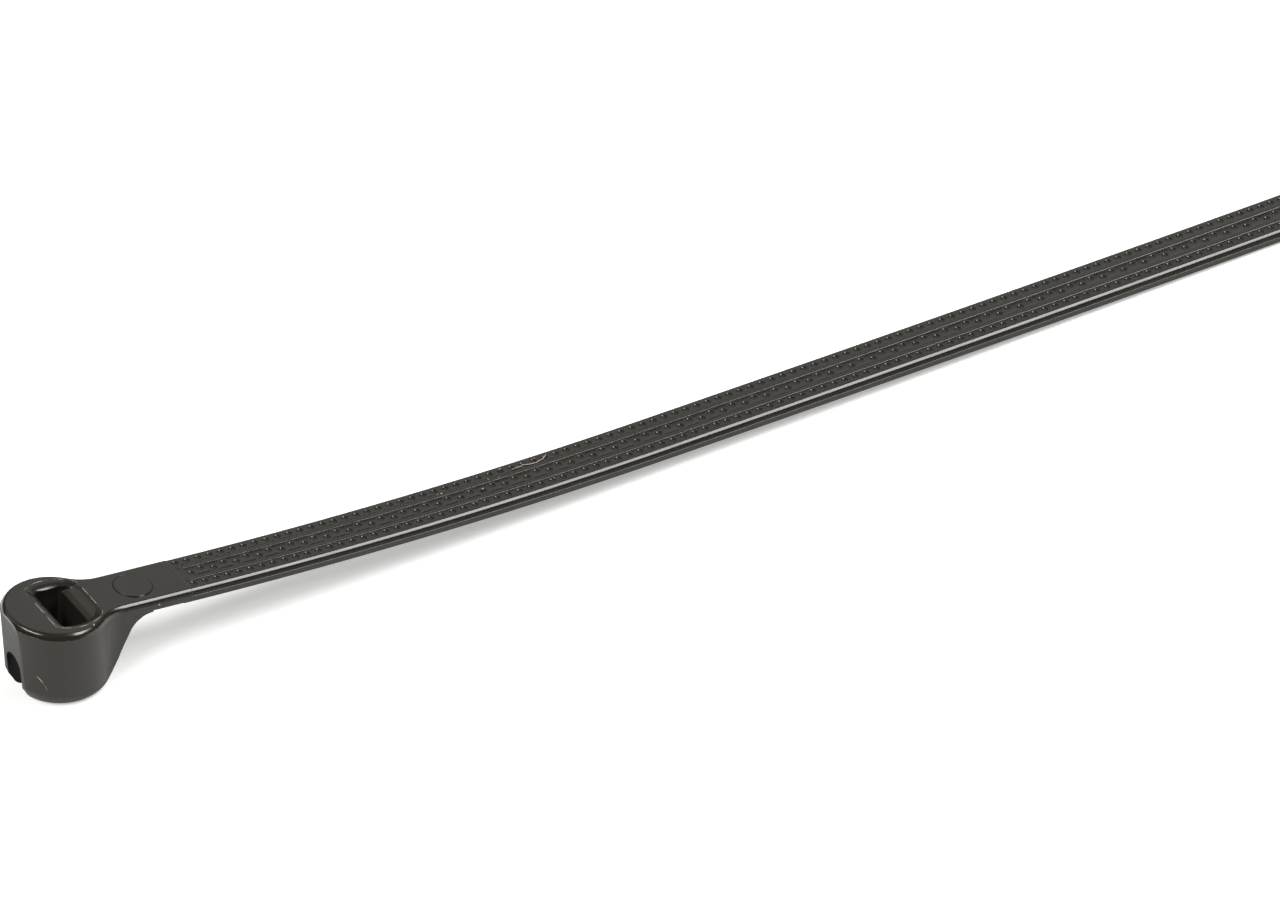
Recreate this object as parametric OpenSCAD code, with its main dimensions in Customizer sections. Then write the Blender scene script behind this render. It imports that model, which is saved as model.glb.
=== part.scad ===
// Two-piece cable tie: a moulded nylon head and strap, and a steel locking barb set in the head.
// The tie stands as it lies on a bench: head on its flat exit face, the strap sloping down to the surface.
// +X runs along the strap, +Z is up, and the origin is the middle of the head's foot.

/* [Head] */
// Radius of the round head at its top face
head_r = 6.1; // [5.4:0.1:7]
// Height of the top face over the middle of the foot
head_h = 10.25; // [9:0.05:12]
// Draft of the head's wall, in degrees from upright
head_draft = 1.8; // [0.5:0.1:3]
// Rounding of the rim round the top face
rim_r = 0.6; // [0.3:0.05:0.75]
// Radius of the foot, which stands a little forward under the head
foot_w = 5.2; // [4.9:0.05:5.6]
// Distance of the foot's middle forward of the head's axis
foot_x = 0.5; // [0:0.05:0.8]
// Slope of the lower wall where it narrows to the foot, in degrees from level
foot_a = 63; // [55:1:72]
// Rounding of the edge round the foot
foot_r = 0.8; // [0.4:0.05:1.2]
// Distance from the head's axis to the flat at its far end, measured at the foot
flat_x = 5.25; // [4.9:0.05:5.5]
// Lean of that flat, in degrees from upright
flat_lean = 2.9; // [1.5:0.1:4]

/* [Strap] */
// Length of the whole tie, from the head's far end to the tip
total_l = 340; // [300:1:390]
// Width of the strap
strap_w = 7; // [6.4:0.1:7.6]
// Thickness of the strap without its ribs
strap_t = 1.62; // [1.4:0.02:1.9]
// Rounding of the two edges on the ribbed side
edge_r = 0.6; // [0.3:0.05:0.7]
// Rounding of the two edges on the smooth side
back_r = 0.4; // [0.2:0.05:0.6]
// Slope at which the strap leaves the head, in degrees
slope = 7.4; // [6.5:0.1:8]
// Radius of the strap's first bend, nearest the head
bend_r = 605; // [500:5:700]
// Slope left at the end of the first bend, in degrees
bend_end = 1.4; // [1.2:0.1:2.4]
// Distance along the strap from the head's axis to the start of the ribs
plain_l = 15.8; // [13:0.1:20]
// Step in, all round, from that plain part to the ribbed strap
step = 0.04; // [0.02:0.01:0.1]

/* [Ribs] */
// Distance of each rib from the middle of the strap
rib_y = 1.2; // [0.8:0.05:1.6]
// Width of a rib at its root
rib_w = 0.62; // [0.4:0.02:0.8]
// Height of a rib
rib_h = 0.13; // [0.08:0.01:0.25]

/* [Neck] */
// Radius of the hollow curve from the head to the strap, seen from above
neck_r = 5; // [3:0.1:7]
// Distance from the head's axis to the foot of the web under the strap
web_x = 4.7; // [3.8:0.1:5.2]
// Slope of the web, in degrees
web_a = 62; // [54:1:66]
// Radius of the hollow where the web meets the strap
web_r = 2.9; // [1:0.1:4]
// Distance from the head's axis to the ejector mark
mark_x = 9.9; // [9.7:0.1:12]
// Radius of the ejector mark
mark_r = 2.2; // [1.5:0.1:2.5]
// Height of the ejector mark
mark_h = 0.08; // [0.04:0.01:0.15]

/* [Strap slot] */
// Clearance of the strap in the slot, over its width
slot_clear = 0.3; // [0.1:0.05:0.6]
// Room in the slot beside the strap, for the barb
slot_room = 1.88; // [1.6:0.02:2]
// Distance from the head's axis to the slot's far wall, where the barb stands
slot_x = 0.8; // [0.6:0.05:1]
// Width of the slanted lip along the barb's side of the slot
lip_w = 1; // [0.7:0.05:1.2]
// Depth of that lip where it meets the slot
lip_d = 0.5; // [0.3:0.05:0.7]
// Width of the slanted lip at the slot's two ends
lip_end = 1.1; // [0.8:0.05:1.3]
// Reach of the ramp from the slot towards the strap
ramp_w = 1.83; // [1.4:0.05:2]
// Depth of the ramp where it meets the slot
ramp_d = 1.3; // [0.9:0.05:1.8]

/* [Barb] */
// Width of the barb
barb_w = 3; // [2.4:0.1:3.4]
// Thickness of the barb's strip
barb_t = 0.4; // [0.3:0.02:0.5]
// Part of the barb's length that is set in the head
barb_set = 4.1; // [3.4:0.1:4.4]
// Angle at which the barb points down, in degrees from level
barb_a = 38.5; // [34:0.5:44]
// Height at which the barb leaves the slot's wall
barb_z = 5.2; // [4.8:0.1:5.6]
// Bite of the barb's tip into a strap in the slot
barb_bite = 0.17; // [0.1:0.01:0.3]
// Room beside the barb where it springs
barb_room = 0.2; // [0.1:0.05:0.3]
// Depth of the spring room behind the slot's wall
room_in = 1.4; // [0.8:0.1:1.8]
// Height of the spring room, down the slot's wall
room_down = 2.4; // [1.8:0.1:2.8]

/* [Far-end notch] */
// Radius of the round-topped notch under the barb's root
notch_r = 1.65; // [1.4:0.05:2]
// Depth of the notch behind the flat
notch_d = 1.6; // [0.8:0.05:1.7]
// Height of the notch's opening
notch_h = 5.6; // [4.6:0.1:6]

/* [Tail] */
// Length of the taper at the tail
tail_l = 26; // [18:1:40]
// Width of the strap at its tip
tip_w = 3; // [2:0.1:4]
// Thickness of the strap at its tip
tip_t = 0.9; // [0.7:0.05:1.2]

/* [Hidden] */
$fn = 96;
// Level, along the strap's own normal, where the head's drafted wall meets the top plate
plate_d = 0.8;
// Past the faces by this much in every cut
over = 1;
// Place of the hollow neck curve's centre, in the plane of the strap
neck_y = strap_w / 2 + neck_r;
neck_x = sqrt(pow(head_r + neck_r, 2) - pow(neck_y, 2));
// The plate's disc stands a little forward, so that its lower face is centred on the head's axis
disc_x = plate_d * tan(slope);
// Radius of the drafted wall, run down to the bench
wall_r = head_r - head_h * tan(head_draft);
// Underside of the strap above the head's axis, and where the web reaches it
under_z = head_h - strap_t / cos(slope);
web_top_x = (under_z + web_x * tan(web_a)) / (tan(web_a) + tan(slope));
web_top_z = under_z - web_top_x * tan(slope);
web_tan = web_r * tan((web_a + slope) / 2);
web_end_x = web_top_x + web_tan * cos(slope);
// The strap past its plain part: a first bend, a second one that lets it down to lie flat, then straight
step_t = strap_t - 2 * step;
step_w = strap_w - 2 * step;
bend_x = (plain_l + disc_x) * cos(slope) - step * sin(slope);
bend_z = head_h - (plain_l + disc_x) * sin(slope) - step * cos(slope);
sag_x = bend_x + bend_r * (sin(slope) - sin(bend_end));
sag_z = bend_z - bend_r * (cos(bend_end) - cos(slope));
// The second bend's radius brings the strap's smooth side down to the bench
sag_r = (sag_z - step_t) / (1 - cos(bend_end));
lie_x = sag_x + sag_r * sin(bend_end);
bend_l = bend_r * (slope - bend_end) * PI / 180;
sag_l = sag_r * bend_end * PI / 180;
strap_l = total_l - head_r - plain_l;
// Width of a rib's slanted side
rib_side = 0.13;
// The slot, across the strap and along it
slot_l = strap_w + slot_clear;
slot_w = strap_t + slot_room;
// The lip and the ramp, in the plane of the strap
lip_x = (slot_w / 2) - slot_x;
lip_R = slot_l / 2 + lip_end;
// Barb: its length out of the wall, up to its bite into the strap
barb_out = (slot_w - strap_t + barb_bite) / cos(barb_a);
// Notch: centre line, behind the flat
notch_x = flat_x - notch_d + notch_r;

// Frame of the strap's ribbed face where it leaves the head
module strap_frame() {
    translate([0, 0, head_h])
        rotate([0, slope, 0])
            children();
}

// Outline drawn in X and Z, carried across the strap by w, half to each side
module across(w) {
    rotate([90, 0, 0])
        translate([0, 0, -w / 2])
            linear_extrude(w)
                children();
}

// The plain strap's section, ribbed face at 0; its width runs along the drawing's Y
module strap_section() {
    translate([back_r - strap_t, -strap_w / 2])
        square([strap_t - edge_r - back_r, strap_w]);
    translate([-edge_r, edge_r - strap_w / 2])
        square([edge_r, strap_w - 2 * edge_r]);
    translate([-strap_t, back_r - strap_w / 2])
        square([back_r, strap_w - 2 * back_r]);
    for (s = [-1, 1]) {
        translate([-edge_r, s * (strap_w / 2 - edge_r)])
            circle(edge_r);
        translate([back_r - strap_t, s * (strap_w / 2 - back_r)])
            circle(back_r);
    }
}

// A section carried straight along +X for length l
module run(l) {
    rotate([90, 0, 90])
        linear_extrude(l)
            rotate([0, 0, 90])
                mirror([0, 1, 0])
                    children();
}

// Corner of the strap's section: centre c, radius r, from angle a0 to a0 + 90
function corner(c, r, a0) = [for (a = [0:30:90]) c + r * [cos(a0 + a), sin(a0 + a)]];

// Rib on the ribbed face at height t over the smooth face, drawn from +Y to -Y
function rib(y, t, h) = [
    [y + rib_w / 2, t],
    [y + rib_w / 2 - rib_side, t + h],
    [y - rib_w / 2 + rib_side, t + h],
    [y - rib_w / 2, t]
];

// Section of the ribbed strap as a list of [y, z], z from the smooth face up; h is the ribs' height there
function section(t, h) = concat(
    corner([step_w / 2 - back_r, back_r], back_r, 270),
    corner([step_w / 2 - edge_r, t - edge_r], edge_r, 0),
    rib(rib_y, t, h),
    rib(-rib_y, t, h),
    corner([edge_r - step_w / 2, t - edge_r], edge_r, 90),
    corner([back_r - step_w / 2, back_r], back_r, 180)
);

// Ribbed face of the strap at distance s past its plain part: [x, z, slope]
function path(s) =
    s < 0 ? [bend_x + s * cos(slope), bend_z - s * sin(slope), slope] :
    s < bend_l ? let (a = slope - s / bend_r * 180 / PI)
        [bend_x + bend_r * (sin(slope) - sin(a)), bend_z - bend_r * (cos(a) - cos(slope)), a] :
    s < bend_l + sag_l ? let (a = bend_end - (s - bend_l) / sag_r * 180 / PI)
        [sag_x + sag_r * (sin(bend_end) - sin(a)), sag_z - sag_r * (cos(a) - cos(bend_end)), a] :
    [lie_x + s - bend_l - sag_l, step_t, 0];

// One ring of the strap, square to the path at s: t thick, its width k of the full one
function ring(s, k, t, h) = let (p = path(s))
    [for (q = section(t, h)) [
        p[0] + (q[1] - step_t) * sin(p[2]),
        k * q[0],
        p[1] + (q[1] - step_t) * cos(p[2])
    ]];

// Width of the tail at distance d before its tip, as a part of the full width
function tail_k(d) = (d < tip_w / 2 ? 2 * sqrt(pow(tip_w / 2, 2) - pow(tip_w / 2 - d, 2)) : tip_w) / step_w;

// Half profile of the cup that trims wall and web to the foot: rounded edge, then straight up at the slope foot_a
// as far as the hollow under the strap, where it opens wide
module foot_profile() {
    edge_x = foot_w - foot_r * tan(foot_a / 2);
    open_z = web_top_z - web_tan * sin(web_a);
    polygon(concat(
        [[0, 0]],
        [for (k = [0:6]) [edge_x + foot_r * sin(k / 6 * foot_a), foot_r - foot_r * cos(k / 6 * foot_a)]],
        [[foot_w + open_z / tan(foot_a), open_z], [4 * head_r, open_z], [4 * head_r, 2 * head_h], [0, 2 * head_h]]
    ));
}

// Outline of the head seen from the side: foot, web and hollow under the strap, flat at the far end
module side_outline() {
    u = [cos(web_a), sin(web_a)];
    v = [cos(slope), -sin(slope)];
    n = [sin(web_a), -cos(web_a)];
    top = [web_top_x, web_top_z];
    polygon([
        [-flat_x, 0],
        [web_x, 0],
        top,
        [web_end_x, web_top_z - (web_end_x - web_top_x) * tan(slope)],
        [web_end_x, 2 * head_h],
        [-flat_x - 2 * head_h * tan(flat_lean), 2 * head_h]
    ]);
    difference() {
        polygon([top, top - web_tan * u, top - web_tan * u + web_r * n, top + web_tan * v]);
        translate(top - web_tan * u + web_r * n)
            circle(web_r);
    }
}

// Everything below the plate: drafted round wall, hollow neck, web, all trimmed to the foot
module head_lower() {
    intersection() {
        union() {
            cylinder(h = 2 * head_h, r1 = wall_r, r2 = wall_r + 2 * head_h * tan(head_draft));
            difference() {
                linear_extrude(2 * head_h)
                    polygon([[0, 0], [neck_x, neck_y], [neck_x, -neck_y]]);
                for (s = [-1, 1])
                    translate([neck_x, s * neck_y, -over])
                        cylinder(
                            h = 2 * head_h + 2 * over,
                            r1 = neck_r + (head_h + over) * tan(head_draft),
                            r2 = neck_r - (head_h + over) * tan(head_draft)
                        );
            }
            translate([neck_x, 0, 0])
                rotate([90, 0, 90])
                    linear_extrude(web_end_x - neck_x)
                        polygon([
                            [-strap_w / 2 + head_h * tan(head_draft), 0],
                            [strap_w / 2 - head_h * tan(head_draft), 0],
                            [strap_w / 2, head_h],
                            [-strap_w / 2, head_h]
                        ]);
        }
        translate([foot_x, 0, 0])
            rotate_extrude()
                foot_profile();
        across(4 * head_r)
            side_outline();
        strap_frame()
            translate([-4 * head_r, -2 * head_r, -3 * head_h - plate_d])
                cube([8 * head_r, 4 * head_r, 3 * head_h]);
    }
}

// The plate in the plane of the strap: disc with its rounded rim, and the neck with its rounded edges
module head_plate() {
    intersection() {
        strap_frame()
            union() {
                translate([disc_x, 0, 0])
                    rotate_extrude() {
                        translate([0, -plate_d])
                            square([head_r - rim_r, plate_d]);
                        translate([0, -plate_d])
                            square([head_r, plate_d - rim_r]);
                        translate([head_r - rim_r, -rim_r])
                            circle(rim_r);
                    }
                translate([disc_x, 0, 0])
                    difference() {
                        translate([0, 0, -plate_d])
                            linear_extrude(plate_d)
                                polygon([[0, 0], [neck_x, neck_y], [neck_x, -neck_y]]);
                        for (s = [-1, 1])
                            translate([neck_x, s * neck_y, 0])
                                rotate_extrude() {
                                    translate([0, -plate_d - over])
                                        square([neck_r, plate_d + 2 * over]);
                                    difference() {
                                        translate([0, -rim_r])
                                            square([neck_r + rim_r, rim_r + over]);
                                        translate([neck_r + rim_r, -rim_r])
                                            circle(rim_r);
                                    }
                                }
                    }
            }
        across(4 * head_r)
            polygon([
                [-flat_x, 0],
                [4 * head_r, 0],
                [4 * head_r, 2 * head_h],
                [-flat_x - 2 * head_h * tan(flat_lean), 2 * head_h]
            ]);
    }
}

// The plain part of the strap, from the neck to the ribs, with the ejector mark
module strap_root() {
    strap_frame()
        translate([disc_x, 0, 0]) {
            translate([neck_x, 0, 0])
                run(plain_l - neck_x)
                    strap_section();
            translate([mark_x, 0, -rim_r])
                cylinder(h = rim_r + mark_h, r = mark_r);
        }
}

// The ribbed strap to its tapered tail, one skin swept along the path
module strap_sweep() {
    tail_s = strap_l - tail_l;
    stops = concat(
        [for (i = [0:12]) bend_l * i / 12],
        [for (i = [1:12]) bend_l + sag_l * i / 12],
        [tail_s - 1]
    );
    // the first two rings stand inside the plain part, where the ribs have no height yet
    rings = concat(
        [for (s = [-plain_l / 4, -4 * rib_h]) ring(s, 1, step_t, 0)],
        [for (s = stops) ring(s, 1, step_t, rib_h)],
        [ring(tail_s, 1, step_t, 0)],
        [for (d = [tip_w / 2, tip_w / 4, tip_w / 10, tip_w / 40])
            ring(strap_l - d, tail_k(d), tip_t + (step_t - tip_t) * d / tail_l, 0)]
    );
    n = len(rings[0]);
    polyhedron(
        points = [for (r = rings) each r],
        faces = concat(
            [[for (i = [0:n - 1]) i]],
            [for (j = [0:len(rings) - 2]) for (i = [0:n - 1])
                [j * n + i, (j + 1) * n + i, (j + 1) * n + (i + 1) % n, j * n + (i + 1) % n]],
            [[for (i = [n - 1:-1:0]) (len(rings) - 1) * n + i]]
        )
    );
}

// Way through the head for the strap, with its lips, ramp and the barb's spring room
module slot_cut() {
    translate([-slot_x, -slot_l / 2, -over])
        cube([slot_w, slot_l, 2 * head_h]);
    strap_frame() {
        // lips: a flat slant on the barb's side, a shallow cone at both ends
        intersection() {
            translate([lip_x, 0, -lip_d * 1.7])
                cylinder(h = lip_d * 2.7, r1 = lip_R - 1.7 * lip_end, r2 = lip_R + lip_end);
            across(4 * head_r)
                polygon([
                    [-slot_x - 3 * lip_w, 2 * lip_d],
                    [-slot_x + 0.8 * lip_w, -1.8 * lip_d],
                    [slot_w - slot_x, -1.8 * lip_d],
                    [slot_w - slot_x + ramp_w, 0],
                    [slot_w - slot_x + ramp_w, 2 * lip_d]
                ]);
        }
        // ramp towards the strap
        intersection() {
            translate([lip_x, 0, -2 * ramp_d])
                cylinder(h = 2 * ramp_d, r = lip_R - lip_end * 0.72);
            across(slot_l)
                polygon([
                    [0, 0],
                    [slot_w - slot_x + ramp_w, 0],
                    [slot_w - slot_x, -ramp_d],
                    [0, -ramp_d]
                ]);
        }
    }
}

// Frame of the barb: origin where its upper face leaves the slot's wall, X along it, pointing down
module barb_frame() {
    translate([-slot_x, 0, barb_z])
        rotate([0, barb_a, 0])
            children();
}

// Pocket for the barb's root and the room below it
module barb_cut() {
    barb_frame()
        translate([-barb_set, -barb_w / 2, -barb_t])
            cube([barb_set + barb_out, barb_w, barb_t]);
    // the upper edge of the spring room runs inside the barb's own slit
    across(barb_w + 2 * barb_room)
        polygon([
            [-slot_x - room_in, barb_z + room_in * tan(barb_a) - barb_t / cos(barb_a) / 2],
            [-slot_x + over, barb_z - over * tan(barb_a) - barb_t / cos(barb_a) / 2],
            [-slot_x + over, barb_z - room_down],
            [-slot_x, barb_z - room_down],
            [-slot_x - room_in, barb_z + room_in * tan(barb_a) - barb_t / cos(barb_a) - 0.1]
        ]);
}

// Round-topped notch in the flat, open at the foot
module notch_cut() {
    rise = sqrt(pow(notch_r, 2) - pow(notch_r - notch_d, 2));
    translate([-notch_x, 0, -over])
        cylinder(h = notch_h - rise + over, r = notch_r);
    translate([-notch_x, 0, notch_h - rise])
        sphere(notch_r);
}

module tie_body() {
    color([0.23, 0.22, 0.21])
        difference() {
            union() {
                head_lower();
                head_plate();
                strap_root();
                strap_sweep();
            }
            slot_cut();
            barb_cut();
            notch_cut();
        }
}

module locking_barb() {
    color([0.72, 0.73, 0.75])
        barb_frame()
            across(barb_w)
                polygon([
                    [-barb_set, 0],
                    [barb_out, 0],
                    [barb_out - 0.9 * barb_t, -barb_t],
                    [-barb_set, -barb_t]
                ]);
}

tie_body();
locking_barb();
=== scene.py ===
import math
import random

import bpy
import bmesh
from mathutils import Matrix, Vector


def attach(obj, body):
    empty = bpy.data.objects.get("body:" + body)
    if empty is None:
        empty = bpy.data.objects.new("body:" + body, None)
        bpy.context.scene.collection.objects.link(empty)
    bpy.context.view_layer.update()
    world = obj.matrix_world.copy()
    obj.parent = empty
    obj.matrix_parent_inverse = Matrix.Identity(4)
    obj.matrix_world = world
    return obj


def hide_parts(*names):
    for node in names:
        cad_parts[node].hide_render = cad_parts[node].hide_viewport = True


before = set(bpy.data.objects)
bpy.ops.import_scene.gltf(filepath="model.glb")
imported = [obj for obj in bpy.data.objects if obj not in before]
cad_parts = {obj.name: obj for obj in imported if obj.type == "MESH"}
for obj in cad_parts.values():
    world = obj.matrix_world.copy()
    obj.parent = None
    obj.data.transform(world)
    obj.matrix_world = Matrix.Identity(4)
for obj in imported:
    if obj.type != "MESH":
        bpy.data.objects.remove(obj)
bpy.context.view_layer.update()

# Head: the thick end of the single black nylon moulding that makes the tie. It is moulded upright, round the core
# that leaves the strap's slot; its wall is drafted below the parting line, and the rim above that line is rounded.
# Sizes here and below are in millimetres, taken in the strap's own frame, with the head's top face at 0.
head_r, head_h, draft, part_d = 6.1, 10.25, math.radians(1.8), 0.72
edge_r, edge_lean = 0.62, 22.0
foot_w, foot_x, foot_a, foot_r = 5.2, 0.5, math.radians(63), 0.8
flat_x, flat_lean = 5.25, math.radians(2.9)
slope, strap_w, strap_t, back_r = math.radians(7.4), 7.0, 1.62, 0.4
neck_r, web_x, web_a, web_r, plain_l = 5.0, 4.7, math.radians(62), 2.9, 15.8
disc_x = part_d * math.tan(slope)
neck_y = strap_w / 2 + neck_r
neck_x = math.sqrt((head_r + neck_r) ** 2 - neck_y ** 2)
strap_frame = Matrix.Translation((0, 0, head_h)) @ Matrix.Rotation(slope, 4, "Y")
upright = strap_frame.inverted()


def solid(name, points, faces, place=None):
    # a mesh from points, with its faces turned outwards; place is the frame that the points are given in
    mesh = bpy.data.meshes.new(name)
    mesh.from_pydata([tuple(p) for p in points], [], faces)
    if place is not None:
        mesh.transform(place)
    work = bmesh.new()
    work.from_mesh(mesh)
    bmesh.ops.recalc_face_normals(work, faces=work.faces)
    work.to_mesh(mesh)
    work.free()
    made = bpy.data.objects.new(name, mesh)
    bpy.context.scene.collection.objects.link(made)
    return made


def arc(x, z, r, a, b, n):
    # n + 1 points on a circle, from angle a to b in degrees
    return [(x + r * math.cos(math.radians(a + (b - a) * i / n)),
             z + r * math.sin(math.radians(a + (b - a) * i / n))) for i in range(n + 1)]


def turned(name, profile, at=(0, 0), place=None, steps=256):
    # a closed turning of a profile of (radius, z); an end off the axis gets a flat cap
    points, rings, faces = [], [], []
    for r, z in profile:
        if r < 1e-6:
            rings.append([len(points)] * steps)
            points.append((at[0], at[1], z))
        else:
            rings.append(list(range(len(points), len(points) + steps)))
            points += [(at[0] + x, at[1] + y, z) for x, y in arc(0, 0, r, 0, 360, steps)[:steps]]
    for low, high in zip(rings, rings[1:]):
        for i in range(steps):
            j = (i + 1) % steps
            corner = list(dict.fromkeys([low[i], low[j], high[j], high[i]]))
            if len(corner) > 2:
                faces.append(corner)
    for end in (rings[0], rings[-1]):
        if len(set(end)) > 1:
            faces.append(end)
    return solid(name, points, faces, place)


def prism(name, low_points, high_points, place=None):
    # the body between two outlines with equally many points
    n = len(low_points)
    faces = [list(range(n)), list(range(n, 2 * n))]
    faces += [[i, (i + 1) % n, n + (i + 1) % n, n + i] for i in range(n)]
    return solid(name, low_points + high_points, faces, place)


def drawn(name, outline, low, high, place=None):
    # an outline in x and y between two levels
    return prism(name, [(x, y, low) for x, y in outline], [(x, y, high) for x, y in outline], place)


def across(name, outline, width, place=None):
    # an outline in x and z, carried across the strap, half of the width to each side
    return prism(name, [(x, -width / 2, z) for x, z in outline], [(x, width / 2, z) for x, z in outline], place)


def boolean(body, tool, how):
    # body joined with, cut by or kept inside the tool, which is used up
    change = body.modifiers.new(how, "BOOLEAN")
    change.operation, change.object, change.solver = how, tool, "EXACT"
    done = bpy.data.meshes.new_from_object(body.evaluated_get(bpy.context.evaluated_depsgraph_get()))
    body.modifiers.clear()
    body.data = done
    bpy.data.objects.remove(tool)


def upper_edge(half_w, n):
    # from the top face's edge, round it and down a leaning flank to the parting line at half_w
    lean = math.radians(edge_lean)
    reach = (part_d - edge_r + edge_r * math.sin(lean)) / math.cos(lean)
    y = half_w - reach * math.sin(lean) - edge_r * math.cos(lean)
    return arc(y, -edge_r, edge_r, 90, edge_lean, n) + [(half_w, -part_d)]


def drawn_in(z):
    # how far the draft has drawn the wall in at level z
    return (head_h - z) * math.tan(draft)


# the drafted wall, the neck below the parting line and the web that carries the strap, built upright; each tool
# reaches past the piece by its own amount, so that no two faces fall together
wall = turned("wall", [(head_r - drawn_in(z), z) for z in (-0.5, 2 * head_h)])
neck = drawn("neck", [(0, 0), (neck_x, neck_y), (neck_x, -neck_y)], -0.8, 2 * head_h + 0.5)
for s in (-1, 1):
    hollow = turned("hollow", [(neck_r + drawn_in(z), z) for z in (-2, 2 * head_h + 2)], (neck_x, s * neck_y))
    boolean(neck, hollow, "DIFFERENCE")
boolean(wall, neck, "UNION")
under_z = head_h - strap_t / math.cos(slope)
web_top_x = (under_z + web_x * math.tan(web_a)) / (math.tan(web_a) + math.tan(slope))
web_top_z = under_z - web_top_x * math.tan(slope)
web_tan = web_r * math.tan((web_a + slope) / 2)
web_end_x = web_top_x + web_tan * math.cos(slope)
bracket = solid("bracket", [(x, s * (strap_w / 2 - drawn_in(z)), z) for x in (neck_x - 0.05, web_end_x)
                            for z in (-1.1, head_h) for s in (-1, 1)],
                [[0, 1, 3, 2], [4, 5, 7, 6], [0, 1, 5, 4], [2, 3, 7, 6], [0, 2, 6, 4], [1, 3, 7, 5]])
boolean(wall, bracket, "UNION")

# what is seen from the side: the flat at the far end, the foot, the web with its hollow, and the strap's slope
hollow_x = web_top_x - web_tan * math.cos(web_a) + web_r * math.sin(web_a)
hollow_z = web_top_z - web_tan * math.sin(web_a) - web_r * math.cos(web_a)
part_z = head_h - (part_d - 0.03) / math.cos(slope)
flat_z = (part_z + flat_x * math.tan(slope)) / (1 - math.tan(slope) * math.tan(flat_lean))
side = [(-flat_x + 0.2 * math.tan(flat_lean), -0.2), (web_x - 0.2 / math.tan(web_a), -0.2)]
side += arc(hollow_x, hollow_z, web_r, 90 + math.degrees(web_a), 90 - math.degrees(slope), 24)
side += [(web_end_x + 1, web_top_z - (web_end_x + 1 - web_top_x) * math.tan(slope)),
         (web_end_x + 1, part_z - (web_end_x + 1) * math.tan(slope)),
         (-flat_x - flat_z * math.tan(flat_lean), flat_z)]
boolean(wall, across("outline", side, 4 * head_r), "INTERSECT")
foot_edge = arc(foot_w - foot_r * math.tan(foot_a / 2), foot_r, foot_r, -90, math.degrees(foot_a) - 90, 12)
open_z = web_top_z - web_tan * math.sin(web_a)
foot_edge += [(foot_w + open_z / math.tan(foot_a), open_z), (4 * head_r, open_z), (4 * head_r, 2 * head_h)]
boolean(wall, turned("foot", foot_edge, (foot_x, 0)), "INTERSECT")
wall.data.transform(upright)

# the plate above the parting line: the head's disc, the neck's hollow curves and the plain start of the strap
rim = upper_edge(head_r, 14)
head = turned("plate", [(head_r, -part_d)] + rim[-2::-1], (disc_x, 0))
neck = drawn("neck_plate", [(disc_x, 0), (disc_x + neck_x, neck_y), (disc_x + neck_x, -neck_y)], -part_d, 0)
for s in (-1, 1):
    flare = [(neck_r, -part_d - 1)] + [(head_r + neck_r - r, z) for r, z in rim[::-1]]
    flare = turned("flare", flare + [(flare[-1][0], 1)], (disc_x + neck_x, s * neck_y))
    boolean(neck, flare, "DIFFERENCE")
boolean(head, neck, "UNION")
# under the parting line the strap's side steps in by 0.03, then by 0.05
start = upper_edge(strap_w / 2, 8)
start += [(strap_w / 2, -part_d - 0.02), (strap_w / 2 - 0.03, -part_d - 0.05)]
start += arc(strap_w / 2 - 0.05 - back_r, back_r - strap_t, back_r, 0, -90, 6)
start += [(-y, z) for y, z in reversed(start)]
boolean(head, prism("start", [(disc_x + neck_x - 0.05, y, z) for y, z in start],
                    [(disc_x + plain_l, y, z) for y, z in start]), "UNION")
boolean(head, across("flat", [(-flat_x, 0), (40, 0), (40, 2 * head_h),
                              (-flat_x - 2 * head_h * math.tan(flat_lean), 2 * head_h)], 40, upright), "INTERSECT")
boolean(head, wall, "UNION")

# the round mark that the mould's ejector pin leaves, raised inside a shallow sink
mark_x, mark_r, mark_h, mark_edge, sink_w, sink_d = disc_x + 9.9, 2.2, 0.08, 0.04, 0.07, 0.05
boolean(head, turned("sink", [(mark_r + sink_w, -sink_d), (mark_r + sink_w + 0.04, sink_d)],
                     (mark_x, 0), None, 128), "DIFFERENCE")
boolean(head, turned("mark", [(mark_r, -0.5), (mark_r, mark_h - mark_edge), (mark_r - mark_edge, mark_h)],
                     (mark_x, 0), None, 128), "UNION")

# the slot, whose core has rounded corners
slot_l, slot_w, slot_x, slot_r = strap_w + 0.3, strap_t + 1.88, 0.8, 0.6
corners = [(slot_w - slot_x - slot_r, slot_l / 2 - slot_r, 0), (slot_r - slot_x, slot_l / 2 - slot_r, 90),
           (slot_r - slot_x, slot_r - slot_l / 2, 180), (slot_w - slot_x - slot_r, slot_r - slot_l / 2, 270)]
boolean(head, drawn("slot", [q for x, y, a in corners for q in arc(x, y, slot_r, a, a + 90, 8)], -1, 20, upright),
        "DIFFERENCE")

# the funnel that leads the tail in: two lips, sloped sides and a ramp towards the strap
lip_w, lip_d, lip_end, ramp_w, ramp_d, funnel_r = 1.0, 0.5, 1.1, 1.83, 1.3, 1.3
lip_x, lip_r = slot_w / 2 - slot_x, slot_l / 2 + lip_end
ramp_x = slot_w - slot_x


def funnel(out):
    # the funnel's outline on the top face, drawn out by out: straight across at both sides, rounded at the strap's
    near, far, r, round_r = -slot_x - lip_w - out, ramp_x + ramp_w + out, lip_r + out, funnel_r + out
    tip = math.degrees(math.acos((near - lip_x) / r))
    reach = far - round_r - lip_x
    turn = math.degrees(math.acos(reach / (r - round_r)))
    y = (r - round_r) * math.sin(math.radians(turn))
    edge = arc(far - round_r, y, round_r, 0, turn, 8) + arc(lip_x, 0, r, turn, tip, 24)[1:]
    return edge + [(x, -v) for x, v in reversed(edge)]


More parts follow.
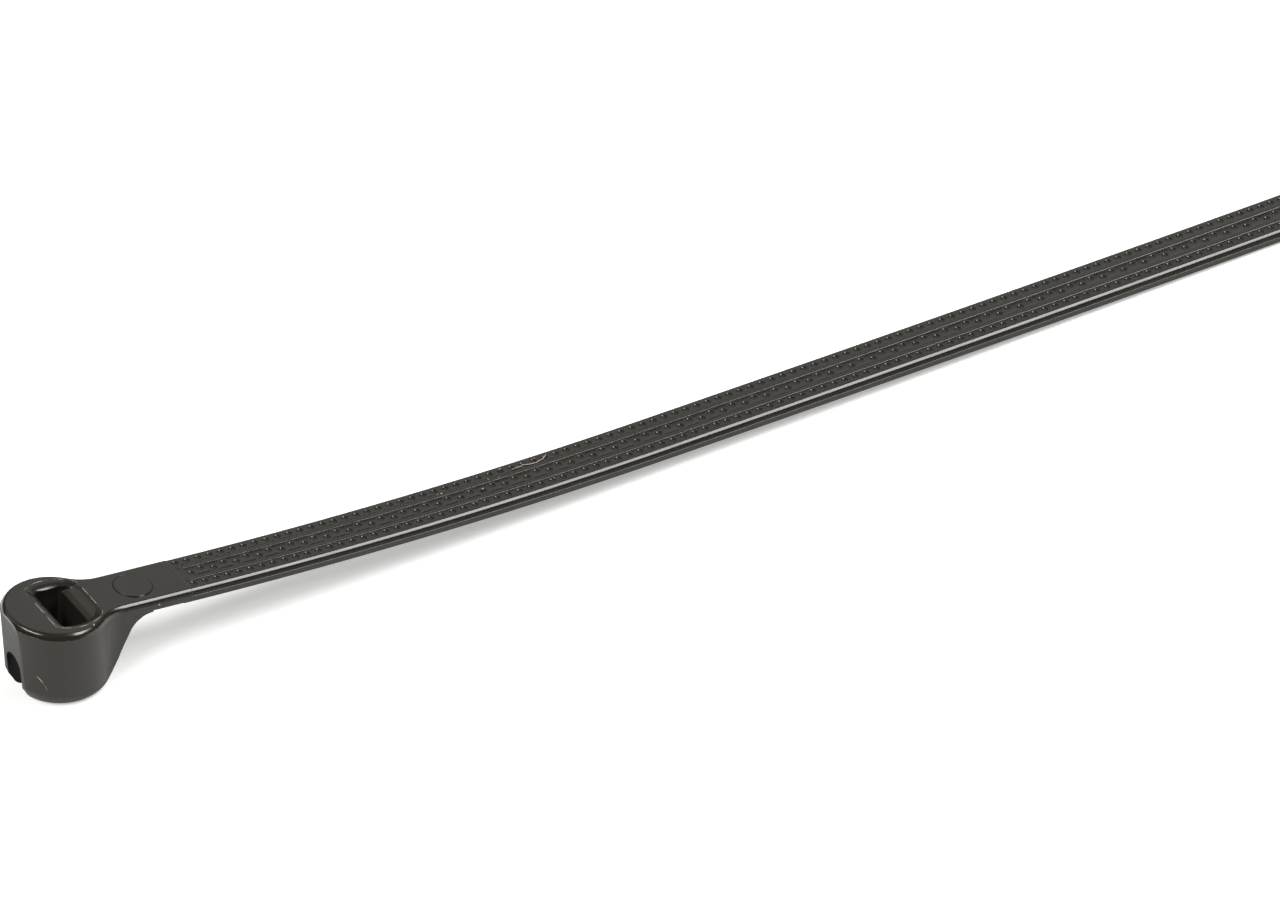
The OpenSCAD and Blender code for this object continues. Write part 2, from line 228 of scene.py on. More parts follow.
# the sloped sides are a cone and the lips two slopes; both are drawn on past their edges
lips = turned("lips", [(lip_r - 1.7 * lip_end, -1.7 * lip_d), (lip_r + lip_end, lip_d)], (lip_x, 0))
boolean(lips, across("lip_side", [(-slot_x - 3 * lip_w, 2 * lip_d), (-slot_x + 0.8 * lip_w, -1.8 * lip_d),
                                  (ramp_x, -1.8 * lip_d), (ramp_x + ramp_w, 0), (ramp_x + ramp_w, 2 * lip_d)], 24),
        "INTERSECT")
boolean(lips, drawn("funnel", funnel(0.03), -4, 4), "INTERSECT")
boolean(head, lips, "DIFFERENCE")
# the ramp is slightly crowned, so that the tail does not catch on it
ramp_a, bow, ramp_end = math.atan2(ramp_d, ramp_w), math.radians(8), lip_r - 0.72 * lip_end
bow_r = math.hypot(ramp_w, ramp_d) / 2 / math.sin(bow)
crown = arc(ramp_x + ramp_w / 2 + bow_r * math.cos(bow) * math.sin(ramp_a),
            -ramp_d / 2 - bow_r * math.cos(bow) * math.cos(ramp_a), bow_r,
            90 + math.degrees(ramp_a - bow), 90 + math.degrees(ramp_a + bow), 12)
ramp = turned("ramp", [(ramp_end, -2 * ramp_d), (ramp_end, 0.2)], (lip_x, 0))
boolean(ramp, across("ramp_side", [(0, 0.1), (ramp_x + ramp_w + 0.16, 0.1)] + crown + [(0, -ramp_d)], slot_l),
        "INTERSECT")
boolean(head, ramp, "DIFFERENCE")

# the barb's slit and spring room, and the round-topped notch under its root
barb_w, barb_t, barb_set, barb_a, barb_z, barb_bite = 3.0, 0.4, 4.1, math.radians(38.5), 5.2, 0.17
room_in, room_down, room_clear = 1.4, 2.4, 0.4
barb_out = (slot_w - strap_t + barb_bite) / math.cos(barb_a)
barb_frame = upright @ Matrix.Translation((-slot_x, 0, barb_z)) @ Matrix.Rotation(barb_a, 4, "Y")
boolean(head, across("slit", [(-barb_set, 0), (barb_out, 0), (barb_out, -barb_t), (-barb_set, -barb_t)], barb_w,
                     barb_frame), "DIFFERENCE")
drop = barb_t / math.cos(barb_a)
room_z = barb_z + room_in * math.tan(barb_a)
boolean(head, across("room", [(-slot_x - room_in, room_z - drop / 2),
                              (-slot_x + 1, barb_z - math.tan(barb_a) - drop / 2),
                              (-slot_x + 1, barb_z - room_down), (-slot_x, barb_z - room_down),
                              (-slot_x - room_in, room_z - drop - 0.1)],
                     barb_w + room_clear, upright), "DIFFERENCE")
notch_r, notch_d, notch_h = 1.65, 1.6, 5.6
dome_z = notch_h - math.sqrt(notch_r ** 2 - (notch_r - notch_d) ** 2)
boolean(head, turned("notch", [(notch_r, -1)] + arc(0, dome_z, notch_r, 0, 90, 24)[:-1] + [(0, dome_z + notch_r)],
                     (-(flat_x - notch_d + notch_r), 0), upright, 128), "DIFFERENCE")
head.data.transform(strap_frame)

# Strap: the same moulding, drawn out flat. Two low ribs run along the upper face, with fine dimples in a row on
# each outer band and in a zigzag down the middle. It leaves the head at a slope, bends and comes down to the bench
# in one long sag, and the last 26 mm taper to a thin tip.
step = 0.04
strap_half, t_full = strap_w / 2 - step, strap_t - 2 * step
bend_r, bend_end = 605.0, math.radians(1.4)
bend_x = (plain_l + disc_x) * math.cos(slope) - step * math.sin(slope)
bend_z = head_h - (plain_l + disc_x) * math.sin(slope) - step * math.cos(slope)
sag_x = bend_x + bend_r * (math.sin(slope) - math.sin(bend_end))
sag_z = bend_z - bend_r * (math.cos(bend_end) - math.cos(slope))
sag_r = (sag_z - t_full) / (1 - math.cos(bend_end))
bend_l, sag_l = bend_r * (slope - bend_end), sag_r * bend_end
tail_l, tip_w, tip_t = 26.0, 3.0, 0.9
strap_l = 340.0 - head_r - plain_l
tail_s = strap_l - tail_l
rib_y, rib_w, rib_h = 1.2, 0.62, 0.0385
pitch, sole_r = 1.478, 0.15
dimple_x, dimple_y, dimple_d, row_y, zigzag_y = 0.46, 0.36, 0.09, 2.15, 0.24
strap_points, strap_faces, point_no = [], [], {}


def path(s):
    # x, z and slope of the ribbed face at distance s past the plain part
    if s < 0:
        return bend_x + s * math.cos(slope), bend_z - s * math.sin(slope), slope
    if s < bend_l:
        a = slope - s / bend_r
        return (bend_x + bend_r * (math.sin(slope) - math.sin(a)),
                bend_z - bend_r * (math.cos(a) - math.cos(slope)), a)
    if s < bend_l + sag_l:
        a = bend_end - (s - bend_l) / sag_r
        return (sag_x + sag_r * (math.sin(bend_end) - math.sin(a)),
                sag_z - sag_r * (math.cos(a) - math.cos(bend_end)), a)
    return sag_x + sag_r * math.sin(bend_end) + s - bend_l - sag_l, t_full, 0.0


def on_strap(s, y, h):
    # a point at distance s along the strap, y across it and h over its ribbed face
    x, z, a = path(s)
    return x + h * math.sin(a), y, z + h * math.cos(a)


def at(s, y, h):
    # the number of that point in the strap's mesh; neighbouring faces share their points
    key = (round(s, 4), round(y, 4), round(h, 4))
    if key not in point_no:
        point_no[key] = len(strap_points)
        strap_points.append(on_strap(s, y, h))
    return point_no[key]


def dimple(s0, s1, y0, y1, yc):
    # one field of the pattern: a flat collar round an oval dimple with a soft floor
    ss = [s0 + (s1 - s0) * i / 4 for i in range(5)]
    ym = (y0 + y1) / 2
    border = [(ss[4], ym), (ss[4], y1), (ss[3], y1), (ss[2], y1), (ss[1], y1), (ss[0], y1),
              (ss[0], ym), (ss[0], y0), (ss[1], y0), (ss[2], y0), (ss[3], y0), (ss[4], y0)]
    outer = [at(s, y, 0) for s, y in border]
    turns = [math.radians(a) for a in (0, 42, 68, 90, 112, 138, 180, 222, 248, 270, 292, 318)]
    sc = (s0 + s1) / 2
    for k, h in ((1.0, 0.0), (0.84, -0.55 * dimple_d), (0.55, -0.92 * dimple_d)):
        inner = [at(sc + k * dimple_x * math.cos(a), yc + k * dimple_y * math.sin(a), h) for a in turns]
        for i in range(12):
            j = (i + 1) % 12
            strap_faces.append([outer[i], outer[j], inner[j], inner[i]])
        outer = inner
    middle = at(sc, yc, -dimple_d)
    strap_faces.extend([outer[i], outer[(i + 1) % 12], middle] for i in range(12))


# the section's half past the outer band: round the edge, down the side and to the middle of the smooth face
strap_side = upper_edge(strap_half, 8)
strap_side += [(strap_half - 0.02, -part_d - 0.03)]
strap_side += arc(strap_half - 0.03 - sole_r, sole_r - t_full, sole_r, 0, -90, 6)
strap_side += [(0, -t_full)]
flat_y = strap_side[0][0]
# across a rib: the distance from its middle and the share of its height, with softly rounded shoulders
rib = [rib_w / 2, rib_w / 2 - 0.05, rib_w / 2 - 0.08]
rib_line = [(rib[0], 0), (rib[1], 0.8), (rib[2], 1), (-rib[2], 1), (-rib[1], 0.8), (-rib[0], 0)]
cells = int((tail_s - 1.0) / pitch)
for c in range(cells):
    s0, s1 = c * pitch, (c + 1) * pitch
    fine = [s0 + pitch * i / 4 for i in range(5)]
    # outer bands, whose dimples stand half a pitch off those in the middle
    for sign in (-1, 1):
        ya, yb = sorted((sign * (rib_y + rib_w / 2), sign * flat_y))
        dimple(s0, s1, ya, yb, sign * row_y)
    if c == 0:
        y = rib_y - rib_w / 2
        strap_faces.append([at(s, -y, 0) for s in fine[:3]] + [at(fine[2], 0, 0)]
                           + [at(s, y, 0) for s in fine[2::-1]] + [at(s0, 0, 0)])
    if c < cells - 1:
        dimple(s0 + pitch / 2, s1 + pitch / 2, -rib_y + rib_w / 2, rib_y - rib_w / 2,
               zigzag_y if c % 2 else -zigzag_y)
    # the ribs rise over the first quarter of the first field
    for sign in (-1, 1):
        for sa, sb in zip(fine, fine[1:]):
            ha, hb = (0 if sa < 1e-6 else rib_h), rib_h
            for (ya, ka), (yb, kb) in zip(rib_line, rib_line[1:]):
                strap_faces.append([at(sa, sign * rib_y + ya, ka * ha), at(sb, sign * rib_y + ya, ka * hb),
                                    at(sb, sign * rib_y + yb, kb * hb), at(sa, sign * rib_y + yb, kb * ha)])
    # rounded edges, sides and smooth face
    for sign in (-1, 1):
        strap_faces.append([at(s, sign * flat_y, strap_side[0][1]) for s in fine]
                           + [at(s, sign * strap_side[1][0], strap_side[1][1]) for s in (s1, s0)])
        for (ya, za), (yb, zb) in zip(strap_side[1:], strap_side[2:]):
            strap_faces.append([at(s0, sign * ya, za), at(s1, sign * ya, za), at(s1, sign * yb, zb),
                                at(s0, sign * yb, zb)])

# the strap's first millimetre, hidden in the plain part, and the tapered tail with its rounded tip; each stop is
# the distance, the share of the full width and the thickness
section = [(y, 0) for y in (0, rib_y - rib[0], rib_y - rib[1], rib_y - rib[2], rib_y + rib[2], rib_y + rib[1],
                            rib_y + rib[0], flat_y)] + strap_side[1:]
section += [(-y, h) for y, h in reversed(section[1:-1])]
end_s = cells * pitch
stops = [(-1.0, 1.0, t_full), (0.0, 1.0, t_full)]
tail_stops = [(end_s, 1.0, t_full)]
for i in range(1, 25):
    s = end_s + (strap_l - tip_w / 2 - end_s) * i / 24
    f = max(0.0, (s - tail_s) / (tail_l - tip_w / 2))
    tail_stops.append((s, 1 - f * (1 - tip_w / (2 * strap_half)),
                       t_full + (tip_t - t_full) * max(0.0, s - tail_s) / tail_l))
for d in (1.25, 1.0, 0.75, 0.5, 0.3, 0.15, 0.075):
    tail_stops.append((strap_l - d, math.sqrt((tip_w / 2) ** 2 - (tip_w / 2 - d) ** 2) / strap_half,
                       tip_t + (t_full - tip_t) * d / tail_l))


def strap_ring(s, k, t, ribs):
    # the outline of the section, k of its full width and t thick; it stands on the smooth face
    made = []
    for y, h in section:
        up = 0.0
        if ribs:
            off = abs(abs(y) - rib_y)
            up = rib_h * (1.0 if off <= rib[2] + 1e-6 else 0.8 if off <= rib[1] + 1e-6 else 0.0)
        made.append(at(s, k * y, h * t / t_full + (t - t_full) + up))
    return made


for rings in ([strap_ring(s, k, t, False) for s, k, t in stops],
              [strap_ring(s, k, t, i == 0) for i, (s, k, t) in enumerate(tail_stops)]):
    for low, high in zip(rings, rings[1:]):
        for i in range(len(section)):
            j = (i + 1) % len(section)
            strap_faces.append([low[i], low[j], high[j], high[i]])
strap_faces.append(list(reversed(rings[-1])))
strap_faces = [f for f in (list(dict.fromkeys(f)) for f in strap_faces) if len(f) > 2]
strap = solid("strap", strap_points, strap_faces)

# Moulding: head and strap leave the mould as one shot of black nylon 6.6, so they become one piece, in metres.
# The mould is polished above the parting line and spark-eroded below it. The dimples and the notch keep the marks
# of the cutter that made them, which is why their floors hardly shine; their floors are also painted darker as
# shade.
whole = bmesh.new()
whole.from_mesh(head.data)
whole.from_mesh(strap.data)
moulding_mesh = bpy.data.meshes.new("nylon_moulding")
whole.to_mesh(moulding_mesh)
whole.free()
for used in (head, strap):
    bpy.data.objects.remove(used)
moulding_mesh.transform(Matrix.Scale(0.001, 4))
moulding_mesh.shade_smooth()
moulding_mesh.set_sharp_from_angle(angle=math.radians(32))
moulding = bpy.data.objects.new("nylon_moulding", moulding_mesh)
bpy.context.scene.collection.objects.link(moulding)
even = moulding.modifiers.new("even shading", "WEIGHTED_NORMAL")
even.keep_sharp = True
# pits: the dimples, and the notch at the head's far end; their floors get a painted shade and a matt skin
pit_shade_and_matt = moulding_mesh.attributes.new("pit_shade_and_matt", "FLOAT", "POINT")
strap_first = len(moulding_mesh.vertices) - len(strap_points)
level = [0.0] * len(strap_points)
for (s0, y, h), i in point_no.items():
    level[i] = h
    pit_shade_and_matt.data[strap_first + i].value = 0.4 * (h < -0.01 and abs(y) < flat_y - 0.01)
for v in moulding_mesh.vertices[:strap_first]:
    x, y, z = v.co * 1000
    pit_shade_and_matt.data[v.index].value = float(0.05 < x + flat_x + z * math.tan(flat_lean) and x < notch_d - flat_x + 0.2
                                    and abs(y) < notch_r + 0.05 and z < notch_h)
# the faces below the parting line
eroded = moulding_mesh.attributes.new("eroded", "FLOAT", "FACE")
for face in moulding_mesh.polygons:
    if face.vertices[0] < strap_first:
        highest = (upright @ (face.center * 1000)).z
    else:
        highest = max(level[i - strap_first] for i in face.vertices) - 0.001
    eroded.data[face.index].value = float(highest < -part_d)


def linear(code):
    # an sRGB hex colour as linear light, with alpha
    parts = [int(code[i:i + 2], 16) / 255 for i in (1, 3, 5)]
    return [c / 12.92 if c < 0.04045 else ((c + 0.055) / 1.055) ** 2.4 for c in parts] + [1.0]


def node(tree, kind, settings=(), links=()):
    # adds a node, sets its properties or input values, and links inputs to other nodes' outputs
    made = tree.nodes.new(kind)
    for name, value in dict(settings).items():
        if isinstance(name, str) and hasattr(made, name):
            setattr(made, name, value)
        else:
            made.inputs[name].default_value = value
    for name, (source, output) in dict(links).items():
        tree.links.new(source.outputs[output], made.inputs[name])
    return made


def bare(name):
    # a material with no nodes yet, and its node tree
    made = bpy.data.materials.new(name)
    made.use_nodes = True
    made.node_tree.nodes.clear()
    return made, made.node_tree


# Black nylon 6.6, injection moulded and UV-stabilised: the eye sees a warm near-black body under a soft satin skin,
# with faint cloudy flow marks in its gloss and the mould's fine grain in its highlights.
nylon, tree = bare("nylon 6.6, moulded black")
where = node(tree, "ShaderNodeTexCoord")
# flow marks of about 4 mm
flow = node(tree, "ShaderNodeTexNoise", {"Scale": 250.0, "Detail": 3.0, "Roughness": 0.55},
            {"Vector": (where, "Object")})
body_colour = node(tree, "ShaderNodeMix", {"data_type": "RGBA", 6: linear("#1E1B15"), 7: linear("#26231C")},
                   {0: (flow, "Fac")})
gloss = node(tree, "ShaderNodeMapRange", {"From Min": 0.3, "From Max": 0.7, "To Min": 0.15, "To Max": 0.21},
             {"Value": (flow, "Fac")})
# the mould's grain is about 0.03 mm, drawn at 0.12 mm so that it shows
grain = node(tree, "ShaderNodeTexNoise", {"Scale": 8000.0, "Detail": 2.0, "Roughness": 0.6},
             {"Vector": (where, "Object")})
# edges are broken by 0.07 mm, and by 0.35 mm round the polished funnel, which ends 4.2 to 5.2 mm from its middle
flat_place = node(tree, "ShaderNodeVectorMath", {"operation": "MULTIPLY", 1: (1, 1, 0)}, {0: (where, "Object")})
off = node(tree, "ShaderNodeVectorMath", {"operation": "DISTANCE", 1: (0.00095, 0, 0)},
           {0: (flat_place, "Vector")})
edge = node(tree, "ShaderNodeMapRange",
            {"From Min": 0.0042, "From Max": 0.0052, "To Min": 0.00035, "To Max": 0.00007},
            {"Value": (off, "Value")})
soft_edge = node(tree, "ShaderNodeBevel", {"samples": 8}, {"Radius": (edge, "Result")})
relief = node(tree, "ShaderNodeBump", {"Strength": 0.25, "Distance": 0.000012},
              {"Height": (grain, "Fac"), "Normal": (soft_edge, "Normal")})
# below the parting line the skin is duller
below = node(tree, "ShaderNodeAttribute", {"attribute_name": "eroded"})
dull = node(tree, "ShaderNodeMath", {"operation": "MULTIPLY_ADD", 1: 0.27},
            {0: (below, "Fac"), 2: (gloss, "Result")})
# the floor of a pit is painted darker, a painted shade for the hollow, and hardly shines
pit_shade_and_matt_fac = node(tree, "ShaderNodeAttribute", {"attribute_name": "pit_shade_and_matt"})
painted_pit_shade = node(tree, "ShaderNodeMix", {"data_type": "RGBA", 7: linear("#0C0B0A")},
            {0: (pit_shade_and_matt_fac, "Fac"), 6: (body_colour, "Result")})
rough_skin = node(tree, "ShaderNodeMath", {"operation": "MULTIPLY_ADD", 1: 0.54},
                  {0: (below, "Fac"), 2: (pit_shade_and_matt_fac, "Fac")})
shine = node(tree, "ShaderNodeMapRange", {"To Min": 0.5, "To Max": 0.12}, {"Value": (rough_skin, "Value")})
skin = node(tree, "ShaderNodeBsdfPrincipled", {"IOR": 1.53},
            {"Base Color": (painted_pit_shade, "Result"), "Roughness": (dull, "Value"), "Specular IOR Level": (shine, "Result"),
             "Normal": (relief, "Normal")})
node(tree, "ShaderNodeOutputMaterial", (), {"Surface": (skin, "BSDF")})
moulding_mesh.materials.clear()
moulding_mesh.materials.append(nylon)
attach(moulding, "root")
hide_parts("tie_body")

# Flash: a hair of nylon that stands round the funnel, where two parts of the mould met and let a little through.
# It is as thin as paper and broken in places; its pale grey is a painted highlight along the funnel's edge.
flash_line = []
for out, h in ((-0.03, -0.01), (0.02, 0.03), (0.07, -0.01)):
    flash_line += [tuple(strap_frame @ Vector((x, y, h))) for x, y in funnel(out)]
n = len(flash_line) // 3
flash = solid("flash", flash_line, [[k * n + i, k * n + (i + 1) % n, (k + 1) % 3 * n + (i + 1) % n,
                                     (k + 1) % 3 * n + i] for k in range(3) for i in range(n)])
flash.data.transform(Matrix.Scale(0.001, 4))

# Nylon 6.6, whitened on the scratches; on the flash the same pale grey is a painted highlight: a broken, chalky
# grey line.
scratch_white_and_flash_highlight, tree = bare("nylon 6.6, whitened scratch and painted flash highlight")
where = node(tree, "ShaderNodeTexCoord")
# the white comes and goes over about 1.5 mm
chalk = node(tree, "ShaderNodeTexNoise", {"Scale": 700.0, "Detail": 2.0}, {"Vector": (where, "Object")})
white = node(tree, "ShaderNodeMapRange", {"From Min": 0.42, "From Max": 0.56}, {"Value": (chalk, "Fac")})
tone = node(tree, "ShaderNodeMix", {"data_type": "RGBA", 6: linear("#24221F"), 7: linear("#9C988C")},
            {0: (white, "Result")})
skin = node(tree, "ShaderNodeBsdfPrincipled", {"IOR": 1.53, "Roughness": 0.5}, {"Base Color": (tone, "Result")})
node(tree, "ShaderNodeOutputMaterial", (), {"Surface": (skin, "BSDF")})
flash.data.materials.append(scratch_white_and_flash_highlight)
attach(flash, "root")

# Parting line: a thread of nylon along both sides of the strap, under the rounded edge, where the mould's halves
# closed. It is of one piece with the strap and stands 0.03 mm proud of it; its paler colour is a painted highlight.
sides, side_faces = [], []
for sign in (-1, 1):
    for i in range(int(tail_s / pitch)):
        for out, h in ((-0.03, -part_d + 0.04), (0.03, -part_d), (-0.04, -part_d - 0.05)):
            sides.append(on_strap(i * pitch, sign * (strap_half + out), h))
        if i:
            a = len(sides) - 6
            side_faces += [[a, a + 1, a + 4, a + 3], [a + 1, a + 2, a + 5, a + 4]]
parting_line = solid("parting_line", sides, side_faces)
parting_line.data.transform(Matrix.Scale(0.001, 4))

# Nylon 6.6 of the parting line: the eye sees a dark grey thread, coloured a little paler than the side as a painted
# highlight.
thread_tone_and_highlight, tree = bare("nylon 6.6, parting line")
where = node(tree, "ShaderNodeTexCoord")
# its tone changes over about 1.7 mm
patchy = node(tree, "ShaderNodeTexNoise", {"Scale": 600.0, "Detail": 2.0}, {"Vector": (where, "Object")})
tone = node(tree, "ShaderNodeMix", {"data_type": "RGBA", 6: linear("#3A3833"), 7: linear("#5C5952")},
            {0: (patchy, "Fac")})
skin = node(tree, "ShaderNodeBsdfPrincipled", {"IOR": 1.53, "Roughness": 0.45}, {"Base Color": (tone, "Result")})
node(tree, "ShaderNodeOutputMaterial", (), {"Surface": (skin, "BSDF")})
parting_line.data.materials.append(thread_tone_and_highlight)
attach(parting_line, "root")

# Locking barb: a short strip stamped from stainless steel and pressed hot into the head, aslant. Only its bevelled
# end stands in the slot, where it bites the strap; its shape is the frame's own node.
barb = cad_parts["locking_barb"]

# Stainless steel strip, cold rolled and stamped: the eye sees a bright grey edge with fine lines along the strip.
steel, tree = bare("stainless steel, stamped strip")
where = node(tree, "ShaderNodeTexCoord")
# rolling lines of about 0.05 mm run along the strip
along = node(tree, "ShaderNodeMapping", {"Scale": (400.0, 20000.0, 400.0)}, {"Vector": (where, "Object")})
lines = node(tree, "ShaderNodeTexNoise", {"Scale": 1.0, "Detail": 2.0}, {"Vector": (along, "Vector")})
rolled = node(tree, "ShaderNodeMapRange", {"To Min": 0.22, "To Max": 0.42}, {"Value": (lines, "Fac")})
soft_edge = node(tree, "ShaderNodeBevel", {"samples": 4, "Radius": 0.00004})
relief = node(tree, "ShaderNodeBump", {"Strength": 0.2, "Distance": 0.000004},
              {"Height": (lines, "Fac"), "Normal": (soft_edge, "Normal")})
skin = node(tree, "ShaderNodeBsdfPrincipled", {"Base Color": linear("#B9B7B2"), "Metallic": 1.0},
            {"Roughness": (rolled, "Result"), "Normal": (relief, "Normal")})
node(tree, "ShaderNodeOutputMaterial", (), {"Surface": (skin, "BSDF")})
barb.data.materials.clear()
barb.data.materials.append(steel)

# Scratches: a scrape down the head's side and two scuffs on the flat at its far end, where a tool or another tie
# has rubbed. They are the same nylon, torn up a hundredth of a millimetre and whitened, in the flash's pale grey.
scratch_lines, line_ends = [], []
for f, z, half_w in ((-140.5, 4.66, 0.0), (-138.5, 4.45, 0.05), (-136.0, 4.15, 0.07), (-133.5, 3.8, 0.035),
                     (-131.3, 3.4, 0.012), (-129.8, 2.95, 0.022), (-128.8, 2.6, 0.0)):
    # degrees round the wall, level and half of the width
    for edge_side in (-1, 1):
        a = math.radians(f + edge_side * 0.8 * math.degrees(half_w / head_r))
        r = head_r - drawn_in(z) + 0.012
        scratch_lines.append((r * math.cos(a), r * math.sin(a), z + edge_side * 0.6 * half_w))
line_ends.append(len(scratch_lines))
for points in (((-0.7, 10.3, 0.0), (-1.1, 10.05, 0.05), (-1.6, 9.75, 0.06), (-2.0, 9.4, 0.0)),
               ((0.9, 9.6, 0.0), (0.3, 9.1, 0.03), (-0.5, 8.7, 0.05), (-1.2, 8.1, 0.0))):
    for y, z, half_w in points:
        for edge_side in (-1, 1):
            high = z + edge_side * half_w
            scratch_lines.append((-flat_x - high * math.tan(flat_lean) - 0.008, y + 0.3 * edge_side * half_w, high))
    line_ends.append(len(scratch_lines))
scratch = solid("scratch", scratch_lines, [[i, i + 1, i + 3, i + 2] for i in range(0, len(scratch_lines) - 2, 2)
                                           if i + 2 not in line_ends])
scratch.data.transform(Matrix.Scale(0.001, 4))
scratch.data.materials.append(scratch_white_and_flash_highlight)
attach(scratch, "root")

# Dust: a pale fibre from a cloth and a few crumbs of packing dust on the ribbed face and the rim. They are loose
# and only cling to the nylon, the crumbs half sunk in the skin's small hollows.
random.seed(5)
dust = bmesh.new()
# distance along the strap, place across it and radius; the last two crumbs are given by x, y and z
crumbs = [on_strap(s, y, 0.04) + (r,) for s, y, r in (
    (43.75, 2.48, 0.15), (42.8, 1.17, 0.08), (40.0, 0.03, 0.16), (35.3, 1.38, 0.16), (34.8, 1.43, 0.1),
    (48.3, 2.42, 0.11), (41.5, 1.37, 0.1), (38.1, -1.83, 0.09), (48.4, -1.9, 0.1))]
crumbs += [(2.27, -5.05, 9.94, 0.15), (11.37, -3.5, 8.05, 0.13)]
for x, y, z, r in crumbs:
    turned_by = Matrix.Rotation(random.uniform(0, 6.28), 4, "Z")
    squash = Matrix.Diagonal((r, r * random.uniform(0.5, 0.8), r * 0.6, 1))
    made = bmesh.ops.create_icosphere(dust, subdivisions=2, radius=1,
                                      matrix=Matrix.Translation((x, y, z)) @ turned_by @ squash)
    for v in made["verts"]:
        v.co += Vector((random.uniform(-1, 1), random.uniform(-1, 1), random.uniform(-1, 1))) * r * 0.16
# the fibre's way along and across the strap; it thins out at both ends
fibre_r = 0.065
fibre_way = [Vector(on_strap(s, y, 0.05)) for s, y in (
    (49.95, 2.54), (49.6, 2.2), (49.15, 1.9), (48.1, 1.62), (47.1, 1.72), (46.5, 2.0), (46.2, 1.8), (45.5, 1.83),
    (44.9, 1.74))]
last = None
for i, place in enumerate(fibre_way):
    ahead = (fibre_way[min(i + 1, len(fibre_way) - 1)] - fibre_way[max(i - 1, 0)]).normalized()
    aside = ahead.cross(Vector((0, 0, 1))).normalized()
    r = fibre_r * (0.35 if i in (0, len(fibre_way) - 1) else 1.0)
    ring = [dust.verts.new(place + r * (math.cos(a) * aside + math.sin(a) * aside.cross(ahead)))
            for a in (math.radians(60 * k) for k in range(6))]
    for k in range(6 if last else 0):
        dust.faces.new([last[k], last[(k + 1) % 6], ring[(k + 1) % 6], ring[k]])
    last = ring
dust_mesh = bpy.data.meshes.new("dust")
dust.to_mesh(dust_mesh)
dust.free()
dust_mesh.transform(Matrix.Scale(0.001, 4))
dust_mesh.shade_smooth()

# Cotton lint and dust, dry and loose: the eye sees dull, pale grey-brown specks with a faint furry rim of light.
lint, tree = bare("cotton lint and dust, loose")
where = node(tree, "ShaderNodeTexCoord")
# crumbs differ in tone over about 1 mm
grey = node(tree, "ShaderNodeTexNoise", {"Scale": 1000.0, "Detail": 1.0}, {"Vector": (where, "Object")})
tone = node(tree, "ShaderNodeMix", {"data_type": "RGBA", 6: linear("#7D776C"), 7: linear("#BDB1A4")},
            {0: (grey, "Fac")})
skin = node(tree, "ShaderNodeBsdfPrincipled", {"Roughness": 0.9, "Sheen Weight": 0.3},
            {"Base Color": (tone, "Result")})
node(tree, "ShaderNodeOutputMaterial", (), {"Surface": (skin, "BSDF")})
dust_mesh.materials.append(lint)
specks = bpy.data.objects.new("dust", dust_mesh)
bpy.context.scene.collection.objects.link(specks)
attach(specks, "root")

# Floor: a large sheet of white card that the tie lies on. It is lit evenly and glows a little, so that it stays
# white to its edge, and it is what the sides of the tie reflect.
floor = solid("floor", [(-4, -4, 0), (4, -4, 0), (4, 4, 0), (-4, 4, 0)], [[0, 1, 2, 3]])

# White card, uncoated and calendered: the eye sees an even, matt white with hardly any fibre in it.
card, tree = bare("white card, matt")
where = node(tree, "ShaderNodeTexCoord")
# fibre clouds of about 1 mm
fibre = node(tree, "ShaderNodeTexNoise", {"Scale": 900.0, "Detail": 3.0}, {"Vector": (where, "Object")})
tone = node(tree, "ShaderNodeMix", {"data_type": "RGBA", 6: linear("#EFEFED"), 7: linear("#F6F6F5")},
            {0: (fibre, "Fac")})
skin = node(tree, "ShaderNodeBsdfPrincipled",
            {"Roughness": 0.9, "Specular IOR Level": 0.2, "Emission Strength": 0.45},
            {"Base Color": (tone, "Result"), "Emission Color": (tone, "Result")})
node(tree, "ShaderNodeOutputMaterial", (), {"Surface": (skin, "BSDF")})
floor.data.materials.append(card)

# Studio: two long soft boxes, one to the near right and one to the left, which draw the bright lines on the edges,
# and two weak white panels behind. The room is dim and darkest near the horizon.
world = bpy.data.worlds.new("studio")
bpy.context.scene.world = world
world.use_nodes = True
tree = world.node_tree
tree.nodes.clear()
direction = node(tree, "ShaderNodeTexCoord")
parts = node(tree, "ShaderNodeSeparateXYZ", (), {0: (direction, "Generated")})
room = node(tree, "ShaderNodeValToRGB", (), {"Fac": (parts, "Z")})
low, high = room.color_ramp.elements
low.position, low.color = 0.12, linear("#383838")
high.position, high.color = 0.8, linear("#6C6C6C")
sky = node(tree, "ShaderNodeBackground", {"Strength": 1.0}, {"Color": (room, "Color")})
node(tree, "ShaderNodeOutputWorld", (), {"Surface": (sky, "Background")})


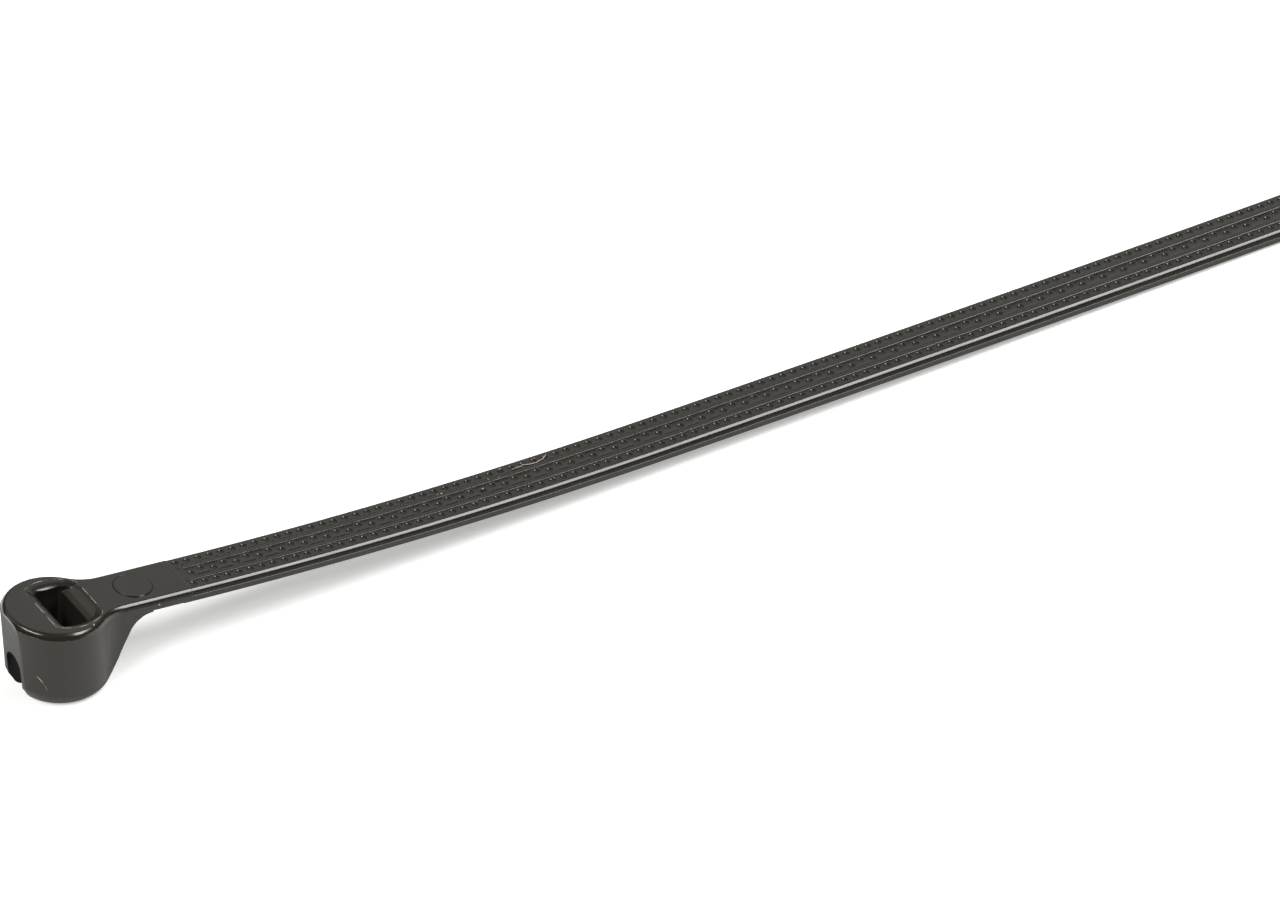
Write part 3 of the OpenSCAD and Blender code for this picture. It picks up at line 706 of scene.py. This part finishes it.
def soft_box(name, towards, distance, width, height, radiance):
    # a rectangle of even light that faces the tie; its power follows from the radiance and the area, in metres
    lamp = bpy.data.lights.new(name, "AREA")
    lamp.shape, lamp.size, lamp.size_y, lamp.energy = "RECTANGLE", width, height, 4 * width * height * radiance
    made = bpy.data.objects.new(name, lamp)
    bpy.context.scene.collection.objects.link(made)
    back = Vector(towards).normalized()
    side = Vector((0, 1, 0)).cross(back).normalized()
    up = back.cross(side)
    made.matrix_world = Matrix.Translation(back * distance) @ Matrix(
        ((side.x, up.x, back.x, 0), (side.y, up.y, back.y, 0), (side.z, up.z, back.z, 0), (0, 0, 0, 1)))


soft_box("strip_right", (0.56, -0.24, 0.79), 1.25, 0.34, 1.1, 9.0)
soft_box("strip_left", (-0.60, -0.06, 0.80), 1.25, 0.34, 0.8, 10.0)
soft_box("back_panel", (0.46, 0.70, 0.54), 1.6, 1.6, 0.9, 0.4)
soft_box("left_panel", (-0.44, 0.66, 0.60), 1.6, 0.9, 0.9, 0.5)

# Camera: a long lens about a metre away, which looks down on the head's end of the tie from its near side and cuts
# the strap off at the right. Its place and turns, in metres and degrees, come from the strap's edges and ribs.
turn, tilt, roll = math.radians(-31.4996), math.radians(37.41366), math.radians(0.12765)
stand = (-0.34341, -0.68558, 0.61668)
sensor_mm, frame_px, focal_px = 36.0, 1280, 8727.08
look = Vector((math.sin(-turn) * math.cos(tilt), math.cos(-turn) * math.cos(tilt), -math.sin(tilt)))
right = look.cross(Vector((0, 0, 1))).normalized()
up = right.cross(look)
right, up = right * math.cos(roll) + up * math.sin(roll), up * math.cos(roll) - right * math.sin(roll)
lens = bpy.data.cameras.new("camera")
lens.sensor_width, lens.lens = sensor_mm, focal_px / frame_px * sensor_mm
lens.clip_start, lens.clip_end = 0.05, 20.0
camera = bpy.data.objects.new("camera", lens)
bpy.context.scene.collection.objects.link(camera)
camera.matrix_world = Matrix.Translation(stand) @ Matrix(
    ((right.x, up.x, -look.x, 0), (right.y, up.y, -look.y, 0), (right.z, up.z, -look.z, 0), (0, 0, 0, 1)))
bpy.context.scene.camera = camera
bpy.context.scene.view_settings.view_transform = "Standard"
